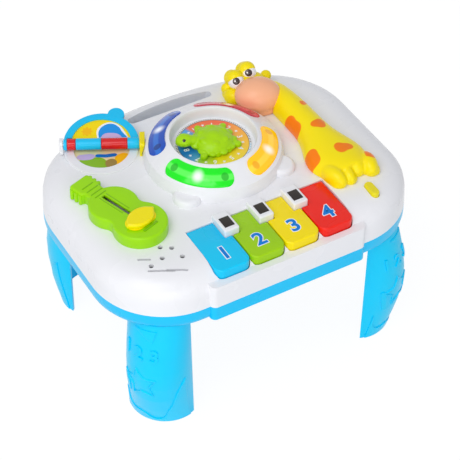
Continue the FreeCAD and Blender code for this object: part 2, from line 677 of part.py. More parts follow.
def dial_disc():
    disc = body("dial_disc", "Sizes.dial_x", "Sizes.dial_y", "Sizes.disc_top - Sizes.disc_thick")
    turned(disc, [("Sizes.shaft_radius + 0.6", "0"), ("Sizes.disc_radius", "0"),
                  ("Sizes.disc_radius", "Sizes.disc_thick - 0.3"),
                  ("Sizes.disc_radius - 0.3", "Sizes.disc_thick"),
                  ("Sizes.shaft_radius + 0.6", "Sizes.disc_thick")])


def turtle():
    """Low domed shell with scalloped edge, four feet, tail and a raised head that points to the rim."""
    base = size.disc_top + size.knob_lift
    r = size.turtle_radius
    tall = size.turtle_tall
    dome = revolved([(0, base), (r - 1.2, base), (r, base + 1.6), (r - 0.8, base + 3.6), (r * 0.82, base + 5.6),
                     (r * 0.55, base + tall - 0.9), (r * 0.25, base + tall - 0.1), (0, base + tall)])
    added = []
    for number in range(9):
        edge = polar(r - 0.6, number * 40.0 + 13.0)
        added.append(Part.makeCone(2.8, 2.2, 4.4, Vector(edge.x, edge.y, base)))
    for degrees in (100.0, 218.0, 322.0, 38.0):
        foot = polar(r + 2.0, degrees)
        added.append(placed(soft_edges(column(oval(4.6, 2.6, base), 3.6), 1.1, at_height(base + 3.6)),
                            place(foot.x, foot.y, 0, degrees)))
    neck = polar(r - 1.0, 160.0)
    head = polar(size.turtle_reach, 160.0)
    added.append(egg(neck.x, neck.y, base + 3.6, 6.5, 3.3, 160.0))
    added.append(egg(head.x, head.y, base + 5.5, 7.0, 5.2, 160.0))
    added.append(cylinder(size.shaft_radius, shaft_bottom(), base + 2.0))
    dome = dome.fuse(added)
    keep("turtle_knob", placed(dome, place(size.dial_x, size.dial_y)))
    washer = cylinder(6.5, shaft_bottom() - 1.2, shaft_bottom())
    keep("knob_washer", placed(washer, place(size.dial_x, size.dial_y)))
    screw = cylinder(2.6, shaft_bottom() - 3.0, shaft_bottom() - 1.2)
    keep("knob_screw", placed(soft_edges(screw, 0.6, at_height(shaft_bottom() - 3.0)),
                              place(size.dial_x, size.dial_y)))


def shaft_bottom():
    return size.disc_top - size.disc_thick - size.wall - 0.3


def book():
    spot = book_place()
    print_disc = cylinder(size.window_radius - 0.2, size.table_top - 0.8, size.table_top - 0.1,
                          size.book_x, size.book_y)
    keep("window_print", print_disc)
    along = Vector(1, 0, 0)
    spindle = Part.makeCylinder(size.spindle_radius - 0.01, 2 * size.spindle_half, Vector(-size.spindle_half,
                                                                                          0, 0), along)
    keep("page_spindle", placed(spindle, spot))
    thick = size.page_thick
    outer = size.page_radius
    inner = size.page_inner
    hub = size.bead_radius
    frame = Part.makeCylinder(outer, thick, Vector(0, 0, -thick / 2))
    bump = polar(outer + 1.0, 68.0)
    frame = frame.fuse(Part.makeCylinder(6.5, thick, Vector(bump.x, bump.y, -thick / 2))).removeSplitter()
    frame = soft_edges(frame, 0.8, at_height(thick / 2))
    frame = frame.cut(Part.makeCylinder(inner, thick + 2, Vector(0, 0, -thick / 2 - 1)))
    frame = frame.common(block(-50, 50, 0, 50, -9, 9))
    card_groove = Part.makeCylinder(inner + 1.2, 0.9, Vector(0, 0, -0.45))
    frame = frame.cut(card_groove)
    ends = Part.makeCylinder(hub, 8.6, Vector(outer - 8.8, 0, 0), along)
    ends = ends.fuse(Part.makeCylinder(hub, 2.4, Vector(-outer + 0.2, 0, 0), along))
    bore = Part.makeCylinder(size.spindle_radius + size.running_gap, 80, Vector(-40, 0, 0), along)
    tilt = FreeCAD.Placement(Vector(0, 0, 0), FreeCAD.Rotation(along, size.page_tilt))
    frame = frame.cut(block(-outer + 2.6, outer - 8.8, -9, hub + 0.6, -9, 9)).fuse(ends).cut(bore)
    keep("page_frame", placed(placed(frame, tilt), spot))
    card = Part.makeCylinder(inner + 1.1, 0.8, Vector(0, 0, -0.4)).common(block(-50, 50, hub + 0.6, 50, -9, 9))
    keep("page_card", placed(placed(card, tilt), spot))
    beads = {"bead_small": (-outer + 2.8, -19.6), "bead_middle": (-19.4, -0.2), "bead_large": (0.0, outer - 9.0)}
    for node, (start, stop) in beads.items():
        bead = Part.makeCylinder(hub, stop - start, Vector(start, 0, 0), along)
        bead = soft_edges(bead, 0.6, lambda edge: edge.Length > 20)
        bead = bead.cut(bore)
        keep(node, placed(bead, spot))
    bracket = block(outer + 0.2, outer + 4.2, -8.0, 9.0, -size.hinge_rise, hub + 0.8)
    bracket = soft_edges(bracket, 3.0, lambda edge: at_height(hub + 0.8)(edge) and edge.BoundBox.YLength < 1)
    bracket = bracket.cut(Part.makeCylinder(size.spindle_radius, 80, Vector(-40, 0, 0), along))
    keep("page_bracket", placed(bracket, spot).cut(dais_solid(-0.3, size.table_top - 5)))


def guitar_place(height=0.0):
    return place(size.guitar_x, size.guitar_y, height, size.guitar_turn)


def guitar_form(thin, bottom, top):
    """Two bouts, neck and head block along X, moved in by thin."""
    form = cylinder(size.upper_bout - thin, bottom, top, size.upper_at, 0)
    form = form.fuse(cylinder(size.lower_bout - thin, bottom, top, size.lower_at, 0))
    form = soft_edges(form, 7.0, lambda edge: edge.BoundBox.ZLength > 1 and size.upper_at + 2 < edge.BoundBox.XMin
                      < size.lower_at - 2 and edge.BoundBox.XLength < 0.1)
    neck = block(2.0, size.upper_at, -size.neck_half + thin, size.neck_half - thin, bottom, top)
    head = block(-6.5 + thin, 8.5 - thin, -size.head_half + thin, size.head_half - thin, bottom, top)
    if thin == 0:
        head = soft_edges(head, 2.5, lambda edge: edge.BoundBox.ZLength > 1)
    return form.fuse(neck).fuse(head)


def guitar():
    bottom = size.table_top
    top = bottom + size.guitar_tall
    outer = guitar_form(0.0, bottom, top)
    outer = soft_edges(outer.removeSplitter(), 1.8, at_height(top))
    outer = outer.cut(guitar_form(2.0, bottom - 1, top - 2.0))
    for number in range(3):
        ridge = cylinder(1.6, bottom, top - 1.5, -3.0 + 4.4 * number, size.head_half)
        outer = outer.fuse(ridge).fuse(cylinder(1.6, bottom, top - 1.5, -3.0 + 4.4 * number, -size.head_half))
    stem = 5.0
    slot_end = size.slider_at + stem + 0.3
    slot = block(size.slot_start, slot_end, -size.slot_width / 2, size.slot_width / 2, bottom, top + 5)
    outer = outer.cut(slot)
    keep("guitar_body", placed(outer, guitar_place()))
    knob = placed(column(oval(size.slider_long / 2, size.slider_wide / 2, top + 0.25), size.slider_tall),
                  place(size.slider_at, 0, 0, 90))
    knob = soft_edges(knob, 1.6, at_height(top + 0.25 + size.slider_tall))
    tongue = block(size.slider_at - stem, size.slider_at + stem, -size.slot_width / 2 + 0.2,
                   size.slot_width / 2 - 0.2, top - 2.3, top + 0.5)
    keep("guitar_slider", placed(knob.fuse(tongue), guitar_place()))
    plate = block(size.slider_at - stem - 1, size.slider_at + stem + 1, -5.0, 5.0, top - 3.5, top - 2.3)
    keep("slider_retainer", placed(plate, guitar_place()))


def giraffe_section(y, middle, half, tall):
    """Half ellipse that stands on the deck."""
    base = size.table_top
    first = Vector(middle - half, y, base)
    last = Vector(middle + half, y, base)
    points = [Vector(middle + half * math.cos(t), y, base + tall * math.sin(t) ** 0.8)
              for t in [math.pi * k / 6 for k in range(1, 6)]]
    curve = Part.BSplineCurve()
    curve.interpolate([last] + points + [first])
    return Part.Wire([curve.toShape(), line(first, last)])


def mound(x, y, along, across, tall, turn):
    """Rounded heap on the deck, longest in the direction turn."""
    turns = [math.radians(14.0 + 152.0 * k / 6) for k in range(7)]
    sections = [giraffe_section(-along * math.cos(t), 0.0, across * math.sin(t), tall * math.sin(t))
                for t in turns]
    return placed(loft(sections, False), place(x, y, 0, turn - 90.0))


def giraffe():
    x = size.giraffe_x
    tall = size.giraffe_tall
    stations = [(56.0, -4.0, 10.0, tall - 3), (40.0, -2.0, 12.0, tall), (20.0, -0.5, 12.5, tall + 0.5),
                (0.0, 0.0, 13.0, tall), (-16.0, -0.5, 16.0, tall - 0.5), (-32.0, -0.5, 22.0, tall - 1.5),
                (-46.0, 0.5, 22.5, tall - 2.5), (-58.0, 1.0, 19.0, tall - 5.0)]
    form = loft([giraffe_section(y, x + side, half, high) for y, side, half, high in stations], False)
    base = size.table_top
    above = block(0, 200, -120, 120, base, base + 60)
    feet = [(67.0, -61.5, 6.5), (76.5, -62.5, 5.8), (96.5, -62.0, 6.6)]
    form = form.fuse([Part.makeSphere(across, Vector(foot_x, foot_y, base + 1.0)).common(above)
                      for foot_x, foot_y, across in feet])
    form = form.fuse(mound(62.0, 64.0, 18.5, 12.0, 20.0, 8.0))
    form = form.fuse([Part.makeSphere(4.6, Vector(ear_x, ear_y, base + 8.0)).fuse(
        cylinder(3.6, base, base + 8.0, ear_x, ear_y)) for ear_x, ear_y in ((81.0, 69.0), (45.5, 70.0))])
    muzzle = mound(size.muzzle_x, size.muzzle_y, 17.5, 14.0, 21.0, -20.0)
    middles = [Vector(51.5, 65.5, base + 17.0), Vector(64.5, 69.0, base + 17.0)]
    eyes = [Part.makeSphere(6.2, middle) for middle in middles]
    pupils = [Part.makeSphere(2.9, middle + Vector(-0.8, -2.6, 3.7)) for middle in middles]
    form = form.cut(muzzle)
    for ball in eyes + pupils:
        form = form.cut(ball)
    form = max(form.Solids, key=lambda solid: solid.Volume)
    whites = [eye.cut(pupil) for eye, pupil in zip(eyes, pupils)]
    keep("giraffe_body", form)
    keep("giraffe_muzzle", muzzle)
    keep("giraffe_eyes", whites[0].fuse(whites[1]))
    keep("giraffe_pupils", pupils[0].fuse(pupils[1]))


def mode_button():
    top = size.table_top + size.button_rise
    spot = place(size.button_x, size.button_y, 0, 90)
    cap = column(oval(size.button_long / 2, size.button_wide / 2, size.table_top - 8.0), top
                 - size.table_top + 8.0)
    cap = soft_edges(cap, 1.2, at_height(top))
    flange = column(oval(size.button_long / 2 + 1.0, size.button_wide / 2 + 1.0, size.table_top - 8.5), 1.2)
    stem = cylinder(1.5, button_board_top() + 4.1, size.table_top - 7.5)
    keep("mode_button", placed(cap.fuse(flange).fuse(stem), spot))
    board = body("button_board", "Sizes.button_x", "Sizes.button_y", "Sizes.table_top - 13 - Sizes.board_thick")
    drawn = new_sketch(board, "button_board_plan", "XY_Plane")
    rectangle(drawn, "5", "13.2")
    pad(board, drawn, "Sizes.board_thick")
    dome = body("button_dome", "Sizes.button_x", "Sizes.button_y", "Sizes.table_top - 13")
    turned(dome, [("0", "0"), ("4.5", "0"), ("4.5", "0.8"), ("2.2", "2.8"), ("2.2", "4"), ("0", "4")])


def speaker():
    spot = place(size.speaker_x, size.speaker_y)
    top = speaker_top()
    r = size.speaker_radius
    basket = revolved([(0, top - 11), (r * 0.5, top - 11), (r * 0.5, top - 7), (r * 0.62, top - 6.5),
                       (r - 1, top - 2.0), (r, top - 2.0), (r, top - 0.2), (r - 2.0, top - 0.2),
                       (r * 0.5, top - 5.0), (0, top - 5.0)])
    keep("speaker", placed(basket, spot))
    cone = revolved([(0, top - 4.9), (r * 0.5, top - 4.9), (r - 2.6, top - 0.3), (r - 3.2, top - 0.3),
                     (r * 0.5, top - 3.9), (r * 0.3, top - 2.9), (0, top - 2.6)])
    keep("speaker_cone", placed(cone, spot))


def battery():
    door = body("battery_door", "0", "Sizes.cell_y", "Sizes.band_bottom")
    drawn = new_sketch(door, "door_plan", "XY_Plane")
    rectangle(drawn, "Sizes.door_half_x", "Sizes.door_half_y")
    pad(door, drawn, "1.5")
    for number, shift in enumerate((-1, 0, 1)):
        x = "%d * (2 * Sizes.cell_radius + 0.6)" % shift
        cell = body("cell_%d" % (number + 1), x, "Sizes.cell_y + Sizes.cell_long / 2",
                    "Sizes.band_bottom + 1.7 + Sizes.cell_radius")
        cell.Placement = FreeCAD.Placement(Vector(0, 0, 0), FreeCAD.Rotation(Vector(1, 0, 0), -90))
        cell.setExpression(".Placement.Rotation.Angle", "90")
        turned(cell, [("0", "0"), ("Sizes.cell_radius - 0.6", "0"), ("Sizes.cell_radius", "0.6"),
                      ("Sizes.cell_radius", "Sizes.cell_long - 2.4"),
                      ("Sizes.cell_radius - 0.6", "Sizes.cell_long - 1.8"), ("2.6", "Sizes.cell_long - 1.8"),
                      ("2.6", "Sizes.cell_long"), ("0", "Sizes.cell_long")])
    whole = None
    inside = size.door_half_y - 2.0
    for side in (-1, 1):
        wall_y = size.cell_y + side * inside
        low = min(wall_y, wall_y - side * 0.5)
        plate = block(-20.0, 20.0, low, low + 0.5, size.band_bottom + 3, size.box_top - 4)
        whole = plate if whole is None else whole.fuse(plate)
    keep("battery_contacts", whole)


def boards_and_screws():
    board = body("main_board", "62", "2", "Sizes.band_bottom + 14")
    drawn = new_sketch(board, "main_board_plan", "XY_Plane")
    rectangle(drawn, "28", "20")
    pad(board, drawn, "Sizes.board_thick")
    chip = body("sound_chip", "58", "0", "Sizes.band_bottom + 14 + Sizes.board_thick")
    turned(chip, [("0", "0"), ("6", "0"), ("5", "1.4"), ("3", "2.2"), ("0", "2.4")])
    whole = None
    for x, y in BOSSES:
        head = size.band_bottom + 2.6
        screw = cylinder(2.8, head, size.band_bottom + 5.0, x, y)
        screw = screw.fuse(cylinder(size.screw_radius - 0.05, head, size.shell_split + 10, x, y))
        whole = screw if whole is None else whole.fuse(screw)
    keep("shell_screws", whole)


top_shell()
bottom_shell()
for corner in LEGS:
    leg(corner)
for which in range(4):
    key(which)
key_domes()
key_board()
key_rod()
black_inserts()
for tint, angle in LENSES.items():
    lens(tint, angle)
light_board()
dial_disc()
turtle()
book()
guitar()
giraffe()
mode_button()
speaker()
battery()
boards_and_screws()
doc.recompute()

faults = [o.Label for o in doc.Objects if "Invalid" in o.State or "Error" in o.State]
faults += [n.Label for n in nodes if n.Shape.isNull() or not n.Shape.isValid() or not n.Shape.Solids]
if faults:
    raise RuntimeError("these did not build: %s" % faults)
os.makedirs("parts", exist_ok=True)
for node in nodes:
    node.Shape.exportStep("parts/%s.step" % node.Label)
print(len(nodes), "sub-parts written")
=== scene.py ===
from math import cos, pi, radians, sin

import bmesh
import bpy
from mathutils import Matrix, Vector
from mathutils.bvhtree import BVHTree


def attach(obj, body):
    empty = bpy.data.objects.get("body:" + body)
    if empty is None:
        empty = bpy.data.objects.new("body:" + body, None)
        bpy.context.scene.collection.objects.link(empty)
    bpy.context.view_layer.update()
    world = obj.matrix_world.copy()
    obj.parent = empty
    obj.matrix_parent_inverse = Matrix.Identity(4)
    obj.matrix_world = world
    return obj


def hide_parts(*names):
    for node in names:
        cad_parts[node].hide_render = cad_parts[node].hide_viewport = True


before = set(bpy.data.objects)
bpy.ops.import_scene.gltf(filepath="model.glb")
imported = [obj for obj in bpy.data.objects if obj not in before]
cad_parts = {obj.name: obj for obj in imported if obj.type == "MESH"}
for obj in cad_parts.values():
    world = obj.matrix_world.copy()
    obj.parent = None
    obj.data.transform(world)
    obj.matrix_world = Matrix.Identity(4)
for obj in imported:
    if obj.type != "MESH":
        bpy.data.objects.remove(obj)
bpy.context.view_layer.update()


# Lower shell: the blue band under the deck. It is one injection moulding of glossy ABS with tapered
# sockets for the legs, and it holds the battery box.

mm = 0.001
weld_gap = 0.005 * mm
flat_angle, corner_angle = radians(0.6), radians(48)


def linear(colour):
    """sRGB hex value as the linear colour that a shader takes."""
    shares = [int(colour[i:i + 2], 16) / 255 for i in (1, 3, 5)]
    return [s / 12.92 if s <= 0.04045 else ((s + 0.055) / 1.055) ** 2.4 for s in shares] + [1.0]

def add_node(material, kind, inputs=None, **settings):
    """A shader node with its settings. Each input is a value or the socket that feeds it."""
    node = material.node_tree.nodes.new(kind)
    for name, setting in settings.items():
        setattr(node, name, setting)
    for socket, source in (inputs or {}).items():
        if isinstance(source, bpy.types.NodeSocket):
            material.node_tree.links.new(source, node.inputs[socket])
        else:
            node.inputs[socket].default_value = source
    return node


def mapped(material, value, low, high, new_low, new_high, **settings):
    """A value with its range from low to high laid on a new range."""
    inputs = {"Value": value, "From Min": low, "From Max": high, "To Min": new_low, "To Max": new_high}
    return add_node(material, "ShaderNodeMapRange", inputs, **settings).outputs[0]


def mixed(material, share, low, high, name="mix"):
    """A share of the way from the low colour to the high one, each a hex value or a socket."""
    low, high = (linear(end) if isinstance(end, str) else end for end in (low, high))
    return add_node(material, "ShaderNodeMix", {0: share, 6: low, 7: high}, data_type="RGBA",
                    name=name).outputs[2]


def new_material(name):
    """A material with no nodes yet."""
    material = bpy.data.materials.new(name)
    material.use_nodes = True
    material.node_tree.nodes.clear()
    return material


def add_surface(material, inputs):
    """The material's surface and its output."""
    surface = add_node(material, "ShaderNodeBsdfPrincipled", inputs, name="surface")
    add_node(material, "ShaderNodeOutputMaterial", {"Surface": surface.outputs[0]})


def moulded_abs(name, colour, shade, roughness=0.3, grain=0.1, coat=0.08):
    """Injection-moulded ABS: the pigment clouds a little over some 40 mm, the polish varies with it, and
    a fine tool grain softens the reflections. The real grain is under 0.1 mm, so it is drawn at 0.8 mm."""
    material = new_material(name)
    place = add_node(material, "ShaderNodeTexCoord").outputs["Object"]
    cloud = add_node(material, "ShaderNodeTexNoise",
                     {"Vector": place, "Scale": 25.0, "Detail": 3.0}).outputs[0]
    tint = mixed(material, cloud, shade, colour, name="tint")
    polish = mapped(material, cloud, 0.3, 0.7, roughness - 0.05, roughness + 0.07)
    specks = add_node(material, "ShaderNodeTexNoise", {"Vector": place, "Scale": 1250.0, "Detail": 2.0})
    bump = add_node(material, "ShaderNodeBump", {"Height": specks.outputs[0], "Strength": grain,
                                                 "Distance": 0.04 * mm}).outputs[0]
    add_surface(material, {"Base Color": tint, "Roughness": polish, "Normal": bump, "IOR": 1.53,
                           "Specular IOR Level": 0.2, "Coat Weight": coat, "Coat Roughness": 0.1})
    return material


def add_object(name, data):
    """A mesh, curve, light or camera as an object of the scene."""
    made = bpy.data.objects.new(name, data)
    bpy.context.scene.collection.objects.link(made)
    return made


def add_piece(name, mesh, body, material):
    """A finished mesh as a piece that rides on a body."""
    mesh.materials.clear()
    mesh.materials.append(material)
    piece = add_object(name, mesh)
    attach(piece, body)
    return piece


def to_mesh(shape):
    """The bmesh as a mesh."""
    mesh = bpy.data.meshes.new("piece")
    shape.to_mesh(mesh)
    shape.free()
    return mesh


def finish_mesh(shape, crease=38.0):
    """The bmesh as a mesh, smooth except where its faces meet at more than the crease angle."""
    for face in shape.faces:
        face.smooth = True
    for edge in shape.edges:
        edge.smooth = not (len(edge.link_faces) == 2 and edge.calc_face_angle() > radians(crease))
    return to_mesh(shape)


def merged_copy(node):
    """The CAD node's mesh with its loose triangles joined."""
    shape = bmesh.new()
    shape.from_mesh(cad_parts[node].data)
    bmesh.ops.remove_doubles(shape, verts=shape.verts, dist=weld_gap)
    return shape


def break_edges(shape, edges, width):
    """Rounds edges of a bmesh, as a mould leaves them."""
    bmesh.ops.bevel(shape, geom=edges, offset=width, offset_type="OFFSET", segments=2, profile=0.5,
                    affect="EDGES", clamp_overlap=True, material=-1)


def moulded_piece(node, name, body, material, edge=0.0, crease=38.0):
    """A merged copy of a CAD node with moulded, slightly broken edges, which takes the node's place."""
    shape = merged_copy(node)
    if edge:
        bmesh.ops.dissolve_limit(shape, angle_limit=flat_angle, verts=shape.verts, edges=shape.edges)
        corners = [e for e in shape.edges if len(e.link_faces) == 2 and e.calc_face_angle() > corner_angle]
        break_edges(shape, corners, edge)
    piece = add_piece(name, finish_mesh(shape, crease), body, material)
    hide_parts(node)
    return piece


band_blue = moulded_abs("moulded_abs_blue", "#00CEFF", "#00C4FC", roughness=0.3)
moulded_piece("bottom_shell", "band", "table", band_blue)


# Legs: four blue ABS mouldings, bowed outwards, each pressed up into its socket. The mould raises a
# triangle, the numbers 1 2 3, a star, a leaf and a wavy layer at the foot.

leg_tall = 105.0 * mm
leg_top_width, leg_foot_width = 48.0 * mm, 52.0 * mm
leg_depth, leg_bulge = 17.0 * mm, 9.5 * mm
legs = {"leg_front_left": (-94.5 * mm, -74.5 * mm), "leg_front_right": (94.5 * mm, -74.5 * mm),
        "leg_back_left": (-92.0 * mm, 66.0 * mm), "leg_back_right": (92.0 * mm, 66.0 * mm)}
relief_proud, relief_rounding = 0.8 * mm, 0.2 * mm
figure_tall, figure_up = 11.0 * mm, 78.5 * mm
slice_wide, slice_tall = 2.0 * mm, 4.0 * mm
leg_blue = moulded_abs("moulded_abs_sky_blue", "#00D8FF", "#00CEFF", roughness=0.33)


def evaluated_mesh(holder):
    """The mesh that an object's curve or modifiers give. The object itself is removed."""
    mesh = bpy.data.meshes.new_from_object(holder.evaluated_get(bpy.context.evaluated_depsgraph_get()))
    bpy.data.objects.remove(holder)
    return mesh


def cut_out(outline, proud, rounding=0.0, straight=()):
    """A flat moulded form with its top face proud, from a closed outline in XY in millimetres. Its points
    are smooth, but for those whose numbers are in straight."""
    drawn = bpy.data.curves.new("outline", "CURVE")
    drawn.dimensions = "2D"
    drawn.fill_mode = "BOTH"
    drawn.resolution_u = 6
    drawn.extrude = proud - rounding
    drawn.bevel_depth = rounding
    drawn.bevel_resolution = 1
    drawn.offset = -rounding
    spline = drawn.splines.new("BEZIER")
    spline.bezier_points.add(len(outline) - 1)
    for number, (point, (x, y)) in enumerate(zip(spline.bezier_points, outline)):
        point.co = (x * mm, y * mm, 0)
        point.handle_left_type = point.handle_right_type = "VECTOR" if number in straight else "AUTO"
    spline.use_cyclic_u = True
    return evaluated_mesh(add_object("holder", drawn))


def figures(text, tall, proud, swell=0.0):
    """Plain numbers as a solid mesh, centred on the origin."""
    drawn = bpy.data.curves.new("figures", "FONT")
    drawn.body = text
    drawn.size = tall * 1.36
    drawn.align_x = "CENTER"
    drawn.align_y = "CENTER"
    drawn.extrude = proud
    drawn.offset = swell
    drawn.resolution_u = 4
    return evaluated_mesh(add_object("holder", drawn))


def star_outline(x, y, radius, waist=0.5, points=5, turn=90.0):
    """Corners of a star round a point, in millimetres."""
    reach = [radius, radius * waist] * points
    return [(x + r * cos(radians(turn + 180 * n / points)), y + r * sin(radians(turn + 180 * n / points)))
            for n, r in enumerate(reach)]


def moved(mesh, place):
    """The mesh at its place."""
    mesh.transform(place)
    return mesh


def joined(meshes):
    """One bmesh of several meshes."""
    shape = bmesh.new()
    for mesh in meshes:
        shape.from_mesh(mesh)
    bmesh.ops.remove_doubles(shape, verts=shape.verts, dist=weld_gap)
    return shape


def cut(shape, at, normal, **cleared):
    """Cuts a bmesh along a plane. With clear_inner or clear_outer, the side behind or before the plane
    goes and the cut is closed."""
    bmesh.ops.bisect_plane(shape, geom=shape.verts[:] + shape.edges[:] + shape.faces[:], plane_co=at,
                           plane_no=normal, **cleared)
    if cleared:
        bmesh.ops.holes_fill(shape, edges=shape.edges)


def leg_reliefs():
    """The raised forms, drawn flat with X along the leg's curve and Y up."""
    foot_layer = [(-29, 0), (-29, 26), (-22, 9), (-9, 9), (3, 3.6), (13, 19), (23, 43), (29, 50), (29, 0)]
    leaf = [(-26, 52), (-21.5, 45), (-20, 36), (-21, 30), (-25, 37), (-26.5, 45)]
    triangle = [(-14, 100), (4, 100.5), (1, 91)]
    forms = [cut_out(outline, relief_proud, relief_rounding, straight)
             for outline, straight in ((foot_layer, (0, 1, 7, 8)), (leaf, ()), (triangle, (0, 1, 2)))]
    for text, across in (("1", -21.0), ("2", -9.5), ("3", 3.0)):
        number = figures(text, figure_tall, 1.3 * relief_proud, 0.35 * mm)
        forms.append(moved(number, Matrix.Translation((across * mm, figure_up, 0))))
    line = bpy.data.curves.new("star", "CURVE")
    line.dimensions = "3D"
    line.bevel_depth = 1.2 * relief_proud
    spline = line.splines.new("POLY")
    corners = star_outline(-9.0, 48.0, 15.0, 0.52, turn=102.0)
    spline.points.add(len(corners) - 1)
    for point, (x, y) in zip(spline.points, corners):
        point.co = (x * mm, y * mm, 0, 1)
    spline.use_cyclic_u = True
    return joined(forms + [evaluated_mesh(add_object("holder", line))])


def on_leg(point):
    """The place on the bowed face of a leg whose chord runs along X, and the turn of the face there, for
    a point of the flat drawing."""
    down = 1 - point.y / leg_tall
    width = leg_top_width + (leg_foot_width - leg_top_width) * down
    depth = leg_depth + leg_bulge * sin(pi * point.y / leg_tall)
    bow = ((width / 2) ** 2 + depth ** 2) / (2 * depth)
    turn = point.x / bow
    return Vector((-bow * sin(turn), depth - bow + bow * cos(turn), point.y)), turn


for leg, (x, y) in legs.items():
    moulded_piece(leg, leg + "_moulding", "table", leg_blue)
    relief = leg_reliefs()
    for step in range(-14, 15):
        cut(relief, (step * slice_wide, 0, 0), (1, 0, 0))
    for step in range(1, 26):
        cut(relief, (0, step * slice_tall, 0), (0, 1, 0))
    out = Vector((x / abs(x), y / abs(y), 0)).normalized()
    along = Vector((out.y, -out.x, 0))
    face = BVHTree.FromBMesh(merged_copy(leg))
    for vertex in relief.verts:
        flat, turn = on_leg(vertex.co)
        spot = Vector((x, y, 0)) + along * flat.x + out * flat.y + Vector((0, 0, flat.z))
        vertex.co = face.find_nearest(spot)[0] + (out * cos(turn) - along * sin(turn)) * vertex.co.z
    add_piece(leg + "_relief", finish_mesh(relief, 50), "table", leg_blue)


# Upper shell: the white deck with its handle, dais, wells and grille. One glossy ABS moulding with a
# crowned edge, screwed to the band from below.

deck_white = moulded_abs("moulded_abs_white", "#F4F4F7", "#F0F0F4", roughness=0.26, coat=0.15)
moulded_piece("top_shell", "deck", "table", deck_white)


# Keys: four ABS mouldings on a steel rod, each with a printed number. The top edges are broken by the
# mould.

key_top = 145.7 * mm
key_number_y = -83.0 * mm
key_number_tall = 13.0 * mm
key_pitch = 29.4 * mm
keys = {"key_1": ("#00D4FF", "#00C0F4", "cyan"), "key_2": ("#A8DC00", "#98CC00", "green"),
        "key_3": ("#FFEC00", "#FFE000", "yellow"), "key_4": ("#FF2A1A", "#F01C10", "red")}
number_blue = moulded_abs("screen_ink_blue", "#0086E0", "#0078D4", roughness=0.42, coat=0.0)
number_white = moulded_abs("screen_ink_white", "#FFFFFF", "#F4F6FA", roughness=0.42, coat=0.0)

for count, (key, (colour, shade, tint)) in enumerate(keys.items()):
    plastic = moulded_abs("moulded_abs_key_" + tint, colour, shade, roughness=0.27, coat=0.1)
    moulded_piece(key, key + "_cap", key, plastic, edge=0.35 * mm)
    for part, lift, thick, swell, ink in (("_number_outline", 0.04, 0.03, 1.1, number_white),
                                          ("_number", 0.10, 0.04, 0.45, number_blue)):
        number = figures(str(count + 1), key_number_tall, thick * mm, swell * mm)
        spot = Matrix.Translation(((count - 1.5) * key_pitch, key_number_y, key_top + lift * mm))
        add_piece(key + part, moved(number, spot), key, ink)


# Short black keys: three dark satin inserts pressed into raised white frames. They don't move.

insert_black = moulded_abs("moulded_abs_black", "#241F1D", "#302A27", roughness=0.42, coat=0.1)
moulded_piece("black_key_inserts", "short_keys", "table", insert_black, edge=0.3 * mm)


# Light windows: four curved panes of tinted acrylic, screwed from inside at both ends, over white
# light-emitting diodes. The bosses show through as darker rings. The pale streak, the bright middle and
# the pane's soft glow are painted light.

dial_x, dial_y = 1.0, 12.9
dial = Vector((dial_x, dial_y, 0.0)) * mm
window_middle = 43.2 * mm
boss_turn = 27.0
# Each window: its angle round the dial, its colour, the pale colour of its painted streak, and the deep
# colour round its bosses.
windows = {"red": (45.0, "#C02840", "#E06478", "#981428"), "blue": (135.0, "#0848B0", "#3080DC", "#042870"),
           "green": (225.0, "#00E010", "#78FF70", "#00A410"),
           "yellow": (315.0, "#FFC800", "#FFE050", "#E8A000")}


def maths(material, operation, *terms):
    """The result of a maths node on values and sockets."""
    return add_node(material, "ShaderNodeMath", dict(enumerate(terms)), operation=operation).outputs[0]


def vector_maths(material, operation, *terms):
    """The same for vectors. A distance or a length is a value, and the rest are vectors."""
    node = add_node(material, "ShaderNodeVectorMath", dict(enumerate(terms)), operation=operation)
    return node.outputs["Value" if operation in ("DISTANCE", "LENGTH") else "Vector"]


def polar(turn, reach, rise=0.0):
    """A vector from its angle, its reach and its rise."""
    return Vector((cos(turn) * reach, sin(turn) * reach, rise))


def tinted_acrylic(name, angle, colour, pale, deep):
    """Moulded acrylic, polished and a little see-through. A painted pale streak runs along its middle,
    where the light comes through, and the colour is deeper round the two screw bosses. A painted white glow
    lies at the centre, and the whole pane has a painted glow by emission."""
    material = new_material(name)
    place = add_node(material, "ShaderNodeTexCoord").outputs["Object"]
    level = vector_maths(material, "MULTIPLY", place, (1, 1, 0))

    def away_from(turn):
        """The distance from the place on the window's middle line at an angle round the dial."""
        return vector_maths(material, "DISTANCE", level, dial + polar(radians(turn), window_middle))

    off = maths(material, "SUBTRACT", vector_maths(material, "DISTANCE", level, dial),
                window_middle + 0.6 * mm)
    # A pale band along the middle: a painted streak of light.
    painted_streak = mapped(material, maths(material, "ABSOLUTE", off), 1.4 * mm, 2.6 * mm, 0.55, 0.0)
    base = mixed(material, painted_streak, colour, pale)
    for side in (-1, 1):
        boss = mapped(material, away_from(angle + side * boss_turn), 2.6 * mm, 3.0 * mm, 0.75, 0.0)
        base = mixed(material, boss, base, deep)
    # A white spot at the centre: a painted glow.
    painted_glow = mapped(material, away_from(angle), 0.5 * mm, 6.0 * mm, 0.85, 0.0,
                  interpolation_type="SMOOTHSTEP")
    base = mixed(material, painted_glow, base, "#FFFFFF")
    # The emission is a painted glow of the diodes' light.
    add_surface(material, {"Base Color": base, "Emission Color": base, "Emission Strength": 0.22,
                           "Roughness": 0.12, "IOR": 1.49, "Specular IOR Level": 0.3,
                           "Transmission Weight": 0.08, "Coat Weight": 0.15, "Coat Roughness": 0.04})
    return material


for tint, (angle, colour, pale, deep) in windows.items():
    acrylic = tinted_acrylic("tinted_acrylic_" + tint, angle, colour, pale, deep)
    moulded_piece("light_window_" + tint, "window_" + tint, "table", acrylic,
                  edge=0.45 * mm)


# Dial: a printed card disc glued in the well of the dais. Its colours run from red at the back to blue
# at the left, inside a dark line and a ring of fine ticks, with plain numbers round it.

